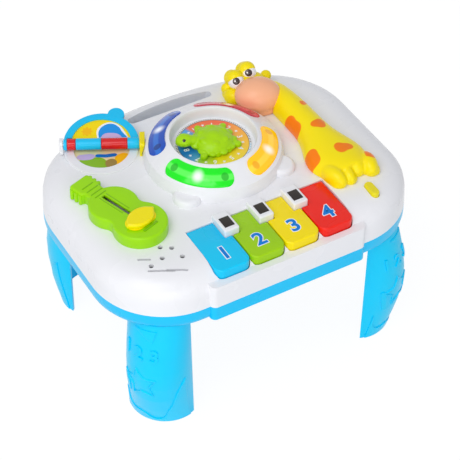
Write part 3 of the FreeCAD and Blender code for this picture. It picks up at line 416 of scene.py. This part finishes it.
dial_top = 159.0 * mm
dial_print_radius = 27.4 * mm
tick_inner, tick_outer = 27.9 * mm, 29.0 * mm
dial_line = 0.44 * mm
ticks = 96
tick_share = front_share = 0.42
numbers_reach, stars_reach = 21.5 * mm, 22.5 * mm
dial_colours = [(0.0, "#1478C8"), (0.07, "#3CA0C8"), (0.085, "#8CC83C"), (0.17, "#C8DC14"),
                (0.2, "#F0E600"), (0.36, "#FFD728"), (0.5, "#FFB43C"), (0.58, "#FF9646"),
                (0.6, "#FF6E46"), (0.8, "#FF7846"), (0.82, "#5AAAF0"), (1.0, "#1478C8")]
number_step = 36
dial_number_tall, dial_star, dial_mark_thick = 4.4 * mm, 1.5, 0.03 * mm


def cover_node(node, material):
    """Gives a CAD node whose shape is right its material."""
    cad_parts[node].data.materials.clear()
    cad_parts[node].data.materials.append(material)


def printed_dial():
    """The dial's print: a ramp of colours by angle and a dark line round it. Outside the line lies a ring
    of ticks, drawn blue in front and black behind."""
    material = new_material("printed_card_dial")
    place = add_node(material, "ShaderNodeTexCoord").outputs["Object"]
    local = vector_maths(material, "SUBTRACT", place, dial)
    parts = add_node(material, "ShaderNodeSeparateXYZ", {0: local})
    angle = maths(material, "ARCTAN2", parts.outputs[1], parts.outputs[0])
    share = mapped(material, angle, -pi, pi, 0.0, 1.0)
    ramp = add_node(material, "ShaderNodeValToRGB", {0: share})
    for position, colour in dial_colours[1:-1]:
        ramp.color_ramp.elements.new(position)
    for element, (position, colour) in zip(ramp.color_ramp.elements, dial_colours):
        element.position = position
        element.color = linear(colour)
    reach = vector_maths(material, "LENGTH", vector_maths(material, "MULTIPLY", local, (1, 1, 0)))
    outside = maths(material, "GREATER_THAN", reach, dial_print_radius)
    ground = mixed(material, outside, ramp.outputs[0], "#F8F8FA")
    line = maths(material, "COMPARE", reach, dial_print_radius, dial_line / 2)
    ground = mixed(material, line, ground, "#3A2418")
    phase = maths(material, "FRACT", maths(material, "MULTIPLY", share, ticks))
    mark = maths(material, "LESS_THAN", phase, tick_share)
    band = maths(material, "COMPARE", reach, (tick_inner + tick_outer) / 2, (tick_outer - tick_inner) / 2)
    # The ticks are drawn blue at the front of the dial and black behind it.
    front = maths(material, "LESS_THAN", share, front_share)
    ink = mixed(material, front, "#1C1C20", "#20B4E0")
    ground = mixed(material, maths(material, "MULTIPLY", mark, band), ground, ink)
    add_surface(material, {"Base Color": ground, "Roughness": 0.38, "IOR": 1.5, "Coat Weight": 0.2,
                           "Coat Roughness": 0.2})
    return material


def on_dial(turn, reach):
    """The place at an angle and a reach from the dial's middle, just above its print."""
    return Matrix.Translation(dial + polar(turn, reach, dial_top + 0.05 * mm))


cover_node("dial_disc", printed_dial())
marks = []
for number in range(1, 11):
    turn = radians(100 - number * number_step)
    shape = figures(str(number), dial_number_tall, dial_mark_thick, 0.1 * mm)
    marks.append(moved(shape, on_dial(turn, numbers_reach) @ Matrix.Rotation(turn - pi / 2, 4, "Z")))
    shape = cut_out(star_outline(0, 0, dial_star, 0.45), dial_mark_thick, straight=range(10))
    marks.append(moved(shape, on_dial(turn - radians(number_step / 2), stars_reach)))
add_piece("dial_marks", finish_mesh(joined(marks)), "table", number_white)


# Turtle knob: solid-looking lime ABS, moulded soft, on a shaft through the dial. Its eyes are dark
# plugs inside raised rings, and its shell has three rings of shallow plates, given here by their reach
# from the shaft, rise, half width and count. The head's forms have a reach, a rise and three radii.

turtle_lime = moulded_abs("moulded_abs_lime", "#B4E800", "#A0D800", roughness=0.34)
turtle_dark = moulded_abs("moulded_abs_dark_brown", "#1C1410", "#2A1E18", roughness=0.2, coat=0.6)
turtle_base = 159.3
knob_middle = Vector((dial_x, dial_y, turtle_base))
head_turn = 160.0
eye_reach, eye_rise, eye_apart = 22.8, 7.9, 3.6
shell_plates = [(0.0, 9.3, 5.0, 1), (8.6, 7.6, 3.9, 6), (15.0, 2.6, 3.4, 11)]
head_forms = [(17.0, 5.0, (7.0, 4.8, 3.8)), (22.2, 5.8, (6.9, 6.3, 4.4)), (25.6, 4.6, (3.6, 4.2, 2.8))]


def ball(shape, centre, radii, turn=0.0, rounds=3):
    """Adds an ellipsoid to a bmesh, in millimetres, with its first radius turned about Z."""
    place = Matrix.Translation(Vector(centre) * mm) @ Matrix.Rotation(radians(turn), 4, "Z")
    bmesh.ops.create_icosphere(shape, subdivisions=rounds, radius=1.0,
                               matrix=place @ Matrix.Diagonal(Vector(radii) * mm).to_4x4())


def soft_form(shape, voxel, rounds, factor=0.6):
    """One smooth skin over everything in the bmesh."""
    holder = add_object("rough", to_mesh(shape))
    skin = holder.modifiers.new("skin", "REMESH")
    skin.mode = "VOXEL"
    skin.voxel_size = voxel
    easing = holder.modifiers.new("easing", "SMOOTH")
    easing.factor = factor
    easing.iterations = rounds
    mesh = evaluated_mesh(holder)
    mesh.shade_smooth()
    return mesh


turtle = merged_copy("turtle_knob")
ball(turtle, knob_middle + Vector((0, 0, 2.0)), (15.6, 15.6, 8.4), rounds=4)
for reach, rise, wide, count in shell_plates:
    for step in range(count):
        turn = radians(step * 360 / count + 10)
        ball(turtle, knob_middle + polar(turn, reach, rise), (wide, wide, 1.8))
for reach, rise, radii in head_forms:
    ball(turtle, knob_middle + polar(radians(head_turn), reach, rise), radii, head_turn)
knob = add_piece("turtle", soft_form(turtle, 0.5 * mm, 5), "turtle", turtle_lime)
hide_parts("turtle_knob")

eye_plugs, eye_rings = bmesh.new(), bmesh.new()
eye_line = knob_middle + polar(radians(head_turn), eye_reach, eye_rise)
sideways = polar(radians(head_turn + 90), 1.0)
for side in (-1, 1):
    spot = eye_line + sideways * side * eye_apart
    facing = (sideways * side * 0.75 + Vector((0, 0, 0.65))).normalized()
    tilt = Vector((0, 0, 1)).rotation_difference(facing).to_matrix().to_4x4()
    place = Matrix.Translation((spot + facing * 0.5) * mm) @ tilt
    bmesh.ops.create_uvsphere(eye_plugs, u_segments=20, v_segments=12, radius=1.0,
                              matrix=place @ Matrix.Diagonal((1.7 * mm, 1.7 * mm, 0.9 * mm, 1)))
    ring = bmesh.new()
    bmesh.ops.create_circle(ring, segments=10, radius=0.55 * mm,
                            matrix=Matrix.Translation((2.2 * mm, 0, 0)) @ Matrix.Rotation(pi / 2, 4, "X"))
    bmesh.ops.spin(ring, geom=ring.verts[:] + ring.edges[:], angle=2 * pi, steps=24, axis=(0, 0, 1),
                   cent=(0, 0, 0), use_merge=True)
    bmesh.ops.recalc_face_normals(ring, faces=ring.faces)
    eye_rings.from_mesh(moved(to_mesh(ring), place))
add_piece("turtle_eyes", finish_mesh(eye_plugs), "turtle", turtle_dark)
add_piece("turtle_eye_rings", finish_mesh(eye_rings), "turtle", turtle_lime)


# Flip page: a cyan ABS frame with a printed card, swinging on a steel spindle with three loose beads,
# held by a yellow end bracket over a round printed window.

ring_spot = Matrix.Translation((-70.5 * mm, 60.5 * mm, 0))
spindle_up, window_up = Matrix.Translation((0, 0, 153.1 * mm)), Matrix.Translation((0, 0, 146.42 * mm))
book_turn = Matrix.Rotation(radians(-27.5), 4, "Z")
page_tilt = Matrix.Rotation(radians(11.0), 4, "X")
card_spot = ring_spot @ spindle_up @ book_turn @ page_tilt @ Matrix.Translation((0, 0, 0.42 * mm))
print_spot = ring_spot @ window_up @ book_turn
print_layer = 0.06 * mm
print_thick, card_print_thick = 0.02 * mm, 0.03 * mm
page_cyan = moulded_abs("moulded_abs_page_cyan", "#22CCFA", "#10BEF4", roughness=0.3)
bead_red = moulded_abs("moulded_abs_bead_red", "#E60A14", "#D40008", roughness=0.24, coat=0.4)
bracket_yellow = moulded_abs("moulded_abs_bracket_yellow", "#F8E800", "#F0DC00", roughness=0.3)
card_yellow = moulded_abs("coated_card_yellow", "#FFE400", "#FFDC1E", roughness=0.45, grain=0.3, coat=0.0)
print_sand = moulded_abs("coated_card_sand", "#F5E6B4", "#F0DCA0", roughness=0.45, grain=0.3, coat=0.0)
ink_colours = {"blue": ("#28A0F0", "#1E90E6"), "lilac": ("#D8BEE6", "#C8AADC"),
               "green": ("#96C832", "#82B41E"), "deep": ("#1478D2", "#0F6EC8"),
               "gold": ("#FFC81E", "#FFBE0A"), "brown": ("#A89050", "#988040")}
inks = {name: moulded_abs("printing_ink_" + name, colour, shade, roughness=0.45, grain=0.2, coat=0.0)
        for name, (colour, shade) in ink_colours.items()}

moulded_piece("page_frame", "page_rim", "page", page_cyan, edge=0.3 * mm)
moulded_piece("bead_small", "bead_end", "bead_small", bead_red, edge=0.2 * mm)
moulded_piece("bead_middle", "bead_mid", "bead_middle", page_cyan, edge=0.2 * mm)
moulded_piece("bead_large", "bead_long", "bead_large", bead_red, edge=0.2 * mm)
moulded_piece("page_bracket", "bracket", "table", bracket_yellow, edge=0.5 * mm)

cover_node("page_card", card_yellow)
cover_node("window_print", print_sand)
halo = [(-3.2, 5.2), (-3.4, 13), (1.2, 18.8), (8, 20.4), (14, 17), (17.6, 11.5), (20.8, 5.2)]
hill = [(-2, 5.4), (-2, 12), (2, 17.5), (8, 19), (13, 16), (16, 11), (20, 5.4)]
cloud = [(-0.6, 5.4), (2, 9), (7, 10), (13, 8.6), (16, 5.4)]
sun = star_outline(-11.0, 12.0, 4.5, 0.72, 8)
for name, outline, rise, ink in (("halo", halo, 0.0, number_white), ("hill", hill, 0.05, inks["blue"]),
                                 ("cloud", cloud, 0.1, inks["lilac"])):
    shape = cut_out(outline, card_print_thick, straight=(0, len(outline) - 1))
    add_piece("card_" + name, moved(shape, card_spot @ Matrix.Translation((0, 0, rise * mm))), "page",
              ink)
add_piece("card_sun", moved(cut_out(sun, card_print_thick), card_spot), "page", inks["gold"])

lower_prints = {"meadow": ([(-17, -12), (-9, -8.5), (2, -10), (4, -20.5), (-5, -20.6), (-12.5, -17)],
                           "green"),
                "haze": ([(-19, -7), (-13, -4.5), (-5, -6), (-6, -9), (-13, -11), (-17.5, -10)], "lilac"),
                "water": ([(-5, -6.4), (3, -4.8), (12, -5.6), (7, -8), (0, -8.2)], "deep"),
                "straw": ([(12, -6), (20, -4.8), (18, -11), (12, -16.5), (10, -12)], "gold"),
                "path": ([(4, -12), (10, -11), (11, -17.5), (5, -19.8), (3, -16)], "brown")}
for layer, (name, (outline, ink)) in enumerate(lower_prints.items()):
    spot = print_spot @ Matrix.Translation((0, 0, print_layer * layer))
    add_piece("window_" + name, moved(cut_out(outline, print_thick), spot), "table", inks[ink])


# Guitar: a hollow green ABS moulding glued to the deck, with a yellow thumb slider in its slot and
# moulded ridges for strings, frets and the track's edge, drawn a darker green as painted shade.

guitar_spot = Matrix.Translation((-104.0 * mm, 23.0 * mm, 0)) @ Matrix.Rotation(radians(-71.6), 4, "Z")
guitar_top = 156.5 * mm
slider_at, slider_base, slider_tall = 58.5 * mm, 156.75 * mm, 4.2 * mm
slider_outline = [(0, -14.0), (6.4, -7.5), (8.4, 0), (6.4, 7.5), (0, 14.0), (-6.4, 7.5), (-8.4, 0),
                  (-6.4, -7.5)]
string_apart, ridge_half = 3.4, 0.45
guitar_green = moulded_abs("moulded_abs_guitar_green", "#A4E400", "#98DE00", roughness=0.3)
# The ridges are part of the body's moulding; their darker green is painted shade.
painted_shade_ridge_green = moulded_abs("moulded_abs_ridge_green", "#84C400", "#78B800", roughness=0.34)
slider_yellow = moulded_abs("moulded_abs_slider_yellow", "#FFF000", "#F8E600", roughness=0.28)

moulded_piece("guitar_body", "guitar", "table", guitar_green, edge=0.3 * mm)
tongue = merged_copy("guitar_slider")
cut(tongue, (0, 0, slider_base + 0.4 * mm), (0, 0, 1), clear_outer=True)
thumb = cut_out(slider_outline, slider_tall / 2, 1.3 * mm, (0, 4))
thumb_spot = guitar_spot @ Matrix.Translation((slider_at, 0, slider_base + slider_tall / 2))
tongue.from_mesh(moved(thumb, thumb_spot))
slider = add_piece("slider", finish_mesh(tongue, 50), "slider", slider_yellow)
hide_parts("guitar_slider")


def ridge_box(shape, x0, x1, y0, y1, rise):
    """Adds a low moulded bar with soft ends to the guitar's top, in the guitar's own millimetres."""
    bar = bmesh.new()
    middle = Matrix.Translation(((x0 + x1) / 2 * mm, (y0 + y1) / 2 * mm, guitar_top))
    size = Matrix.Diagonal(((x1 - x0) * mm, (y1 - y0) * mm, 2 * rise * mm, 1))
    bmesh.ops.create_cube(bar, size=1.0, matrix=middle @ size)
    break_edges(bar, bar.edges[:], 0.22 * mm)
    shape.from_mesh(moved(to_mesh(bar), guitar_spot))


ridges = bmesh.new()
for string in (-string_apart, string_apart):
    ridge_box(ridges, 20.0, 44.0, string - ridge_half, string + ridge_half, 0.2)
for fret in (4.0, 9.0, 13.5, 17.5):
    ridge_box(ridges, fret - ridge_half, fret + ridge_half, -5.6, 5.6, 0.4)
ridge_box(ridges, 67.5, 69.5, -7.0, 7.0, 0.6)
add_piece("guitar_ridges", finish_mesh(ridges), "table", painted_shade_ridge_green)


# Giraffe: a soft-edged yellow ABS form lying on the deck, with sprayed orange spots, a peach muzzle and
# white eyes under rounded brows. A spot has its place, its two half widths and its turn, and a form its
# middle, its radii and its turn, in millimetres and degrees.

giraffe_spots = [(62.8, 5.5, 8.0, 10.5, 20), (81.0, -10.3, 6.0, 5.2, 0), (84.0, 17.0, 4.2, 2.6, 30),
                 (58.0, -35.6, 7.5, 7.2, 50), (83.1, -41.1, 7.6, 5.0, -10), (103.0, -27.0, 4.0, 6.6, 20),
                 (98.5, -54.7, 3.2, 5.0, 10)]
eye_middles = [Vector((50.6, 64.2, 164.0)), Vector((63.4, 67.0, 165.6))]
eye_radius = 6.4
giraffe_floor, muzzle_floor = 145.9 * mm, 146.4 * mm
giraffe_forms = [((49.8, 71.0, 163.6), (6.2, 5.2, 6.4), 20), ((63.4, 74.0, 164.6), (7.2, 5.2, 6.4), -5),
                 ((66.0, -56.0, 150.0), (6.8, 13.0, 8.5), 12), ((76.5, -57.0, 149.5), (5.2, 12.0, 7.5), -4),
                 ((86.0, -54.0, 150.0), (7.0, 10.0, 8.5), 0), ((96.5, -57.0, 150.0), (7.0, 12.0, 8.5), -14),
                 ((45.0, 60.0, 153.0), (6.0, 8.0, 7.0), 15)]

giraffe = merged_copy("giraffe_body")
for middle in eye_middles:
    ball(giraffe, middle + Vector((0.2, 2.3, 1.3)), (eye_radius + 0.5,) * 3)
for centre, radii, turn in giraffe_forms:
    ball(giraffe, centre, radii, turn)
cut(giraffe, (0, 0, giraffe_floor), (0, 0, 1), clear_inner=True)
giraffe_skin = soft_form(giraffe, 0.8 * mm, 8)
spray = giraffe_skin.attributes.new("spray", "FLOAT", "POINT")
for vertex, value in zip(giraffe_skin.vertices, spray.data):
    nearest = 9.0
    for x, y, long, wide, turn in giraffe_spots:
        away = Vector((vertex.co.x / mm - x, vertex.co.y / mm - y)) @ Matrix.Rotation(radians(turn), 2)
        wobble = 1 + 0.13 * sin(3 * away.angle_signed(Vector((1, 0)), 0) + x)
        nearest = min(nearest, (Vector((away.x / long, away.y / wide)).length - wobble) * min(long, wide))
    value.value = nearest

giraffe_yellow = moulded_abs("moulded_abs_giraffe_yellow", "#FFEE00", "#FFE400", roughness=0.34, grain=0.15)
sprayed = add_node(giraffe_yellow, "ShaderNodeAttribute", attribute_name="spray").outputs["Fac"]
mask = mapped(giraffe_yellow, sprayed, -0.25, 0.25, 1.0, 0.0)
nodes = giraffe_yellow.node_tree.nodes
spotted = mixed(giraffe_yellow, mask, nodes["tint"].outputs[2], "#FF8200", name="spots")
giraffe_yellow.node_tree.links.new(spotted, nodes["surface"].inputs["Base Color"])
body = add_piece("giraffe", giraffe_skin, "table", giraffe_yellow)
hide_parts("giraffe_body")

muzzle_peach = moulded_abs("moulded_abs_peach", "#FFC29C", "#FFB48A", roughness=0.32)
snout = merged_copy("giraffe_muzzle")
ball(snout, (60.5, 46.8, 158.5), (18.5, 15.8, 13.6), -20, rounds=4)
cut(snout, (0, 0, muzzle_floor), (0, 0, 1), clear_inner=True)
muzzle = add_piece("muzzle", soft_form(snout, 0.8 * mm, 8), "table", muzzle_peach)
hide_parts("giraffe_muzzle")

eye_white = moulded_abs("moulded_abs_eye_white", "#FFFFFF", "#F6F6F8", roughness=0.2, coat=0.5)
eye_brown = moulded_abs("moulded_abs_eye_brown", "#2A1410", "#3A1C16", roughness=0.15, coat=0.8)
eye_balls = bmesh.new()
for middle in eye_middles:
    ball(eye_balls, middle, (eye_radius,) * 3, rounds=4)
eyes = add_piece("eyes", finish_mesh(eye_balls), "table", eye_white)
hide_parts("giraffe_eyes")


def eye_cap(shape, middle, radius, facing, spread):
    """Adds the part of a ball within an angle of a direction to a bmesh."""
    cap = bmesh.new()
    bmesh.ops.create_uvsphere(cap, u_segments=32, v_segments=48, radius=radius * mm)
    cut(cap, (0, 0, radius * cos(radians(spread)) * mm), (0, 0, 1), clear_inner=True)
    place = Matrix.Translation(middle * mm) @ facing.to_track_quat("Z", "Y").to_matrix().to_4x4()
    shape.from_mesh(moved(to_mesh(cap), place))


# Dark pupil caps, each with a small white cap over it that is a painted glint.
pupil_caps, painted_glint_caps = bmesh.new(), bmesh.new()
for middle in eye_middles:
    eye_cap(pupil_caps, middle, eye_radius + 0.12, Vector((-0.36, -0.70, 0.60)), 26)
    eye_cap(painted_glint_caps, middle, eye_radius + 0.2, Vector((-0.50, -0.62, 0.60)), 6)
pupils = add_piece("pupils", finish_mesh(pupil_caps), "table", eye_brown)
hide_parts("giraffe_pupils")
add_piece("pupil_painted_glints", finish_mesh(painted_glint_caps), "table", eye_white)


# Mode button: a small yellow ABS cap in an oval hole, over a rubber dome.

button_yellow = moulded_abs("moulded_abs_button_yellow", "#F4E600", "#E8D800", roughness=0.28, coat=0.35)
moulded_piece("mode_button", "button_cap", "mode_button", button_yellow, edge=0.25 * mm)


# Parts inside the housing: boards, diodes, rubber domes, speaker, cells, rods and screws. They are plain
# stock parts, seen only through gaps or when the model is taken apart.


def turned_steel(name, colour, roughness):
    """Plated steel: metallic, with fine turning marks."""
    material = new_material(name)
    place = add_node(material, "ShaderNodeTexCoord").outputs["Object"]
    marks = add_node(material, "ShaderNodeTexNoise",
                     {"Vector": place, "Scale": 900.0, "Detail": 4.0}).outputs[0]
    wear = mapped(material, marks, 0.0, 1.0, roughness - 0.08, roughness + 0.12)
    tone = mixed(material, marks, colour, "#D8D8DC")
    add_surface(material, {"Base Color": tone, "Roughness": wear, "Metallic": 1.0})
    return material


steel = turned_steel("plated_steel", "#B8BABF", 0.3)
board_green = moulded_abs("epoxy_board_green", "#1E6E3C", "#185C32", roughness=0.4)
rubber = moulded_abs("silicone_rubber_grey", "#8C8C90", "#7C7C82", roughness=0.6, coat=0.0)
clear = moulded_abs("diode_epoxy", "#E8F0F4", "#DCE6EC", roughness=0.15, coat=0.6)
speaker_grey = moulded_abs("paper_cone_grey", "#B8B8BE", "#ACACB4", roughness=0.7, grain=0.4, coat=0.0)
wrap = moulded_abs("printed_film_grey", "#6E7880", "#5A646C", roughness=0.3)
inside = {"key_hinge_rod": steel, "page_spindle": steel, "shell_screws": steel,
          "light_board_screws": steel, "knob_screw": steel, "battery_contacts": steel,
          "knob_washer": deck_white, "light_board": board_green, "key_circuit_board": board_green,
          "button_board": board_green, "main_board": board_green,
          "sound_chip": insert_black, "button_dome": rubber, "speaker": speaker_grey,
          "speaker_cone": speaker_grey, "battery_door": band_blue, "slider_retainer": guitar_green,
          "cell_1": wrap, "cell_2": wrap, "cell_3": wrap}
for count in range(1, 5):
    inside["key_dome_%d" % count] = rubber
for tint in windows:
    inside["led_" + tint] = clear
for node, material in inside.items():
    cover_node(node, material)


# Studio: a pale floor that stays white behind the toy and keeps its shadow, soft light from the front
# left and above, and the photograph's long-lens view from the front left. A lamp has its place, its
# width and its power.

floor_reach = 4.0
lamps = {"key_light": ((-0.9, -0.5, 1.6), 1.1, 12.5), "front_light": ((-0.75, -1.5, 0.45), 1.2, 8.0)}
lit_spot = Vector((0, 0, 0.1))
photo_side = 460
photo_right, photo_up = -2.36, 6.24
camera_spot = (-0.4790, -0.8311, 0.9978)
view_turn, view_rise, view_roll = radians(-30.53), radians(43.98), radians(0.67)


def seen_plainly(material):
    """1 for a ray from the camera, a reflection or a clear piece, and 0 for the rays that light the toy."""
    rays = add_node(material, "ShaderNodeLightPath").outputs
    seen = maths(material, "MAXIMUM", rays["Is Camera Ray"], rays["Is Glossy Ray"])
    return maths(material, "MAXIMUM", seen, rays["Is Transmission Ray"])


floor = bmesh.new()
bmesh.ops.create_grid(floor, x_segments=2, y_segments=2, size=floor_reach)
floor_mesh = to_mesh(floor)
floor_piece = add_object("studio_floor", floor_mesh)
paper = new_material("studio_paper")
lift = maths(paper, "MULTIPLY", seen_plainly(paper), 0.88)
matt = add_node(paper, "ShaderNodeBsdfPrincipled", {"Base Color": linear("#F4F4F4"), "Roughness": 0.9})
white = add_node(paper, "ShaderNodeEmission", {"Strength": 1.06})
blend = add_node(paper, "ShaderNodeMixShader", {0: lift, 1: matt.outputs[0], 2: white.outputs[0]})
add_node(paper, "ShaderNodeOutputMaterial", {"Surface": blend.outputs[0]})
floor_mesh.materials.append(paper)

world = bpy.data.worlds.new("studio")
world.use_nodes = True
world.node_tree.nodes.clear()
soft = add_node(world, "ShaderNodeBackground", {"Color": linear("#F4F6FA"), "Strength": 0.52})
bright = add_node(world, "ShaderNodeBackground", {"Color": (1, 1, 1, 1), "Strength": 1.0})
blend = add_node(world, "ShaderNodeMixShader", {0: seen_plainly(world), 1: soft.outputs[0],
                                                2: bright.outputs[0]})
add_node(world, "ShaderNodeOutputWorld", {"Surface": blend.outputs[0]})
bpy.context.scene.world = world

for name, (spot, size, power) in lamps.items():
    light = bpy.data.lights.new(name, "AREA")
    light.size = size
    light.energy = power
    aim = (lit_spot - Vector(spot)).to_track_quat("-Z", "Y").to_matrix().to_4x4()
    add_object(name, light).matrix_world = Matrix.Translation(spot) @ aim

back = Vector((sin(view_turn) * cos(view_rise), -cos(view_turn) * cos(view_rise), sin(view_rise)))
across = Vector((0, 0, 1)).cross(back).normalized()
right = across * cos(view_roll) + back.cross(across) * sin(view_roll)
camera = bpy.data.cameras.new("photo_camera")
camera.lens = 131.8
camera.sensor_width = 36.0
camera.shift_x = photo_right / photo_side
camera.shift_y = photo_up / photo_side
viewer = add_object("photo_camera", camera)
viewer.matrix_world = Matrix.Translation(camera_spot) @ Matrix(
    (right, back.cross(right), back)).transposed().to_4x4()
bpy.context.scene.camera = viewer
bpy.context.scene.view_settings.view_transform = "Standard"
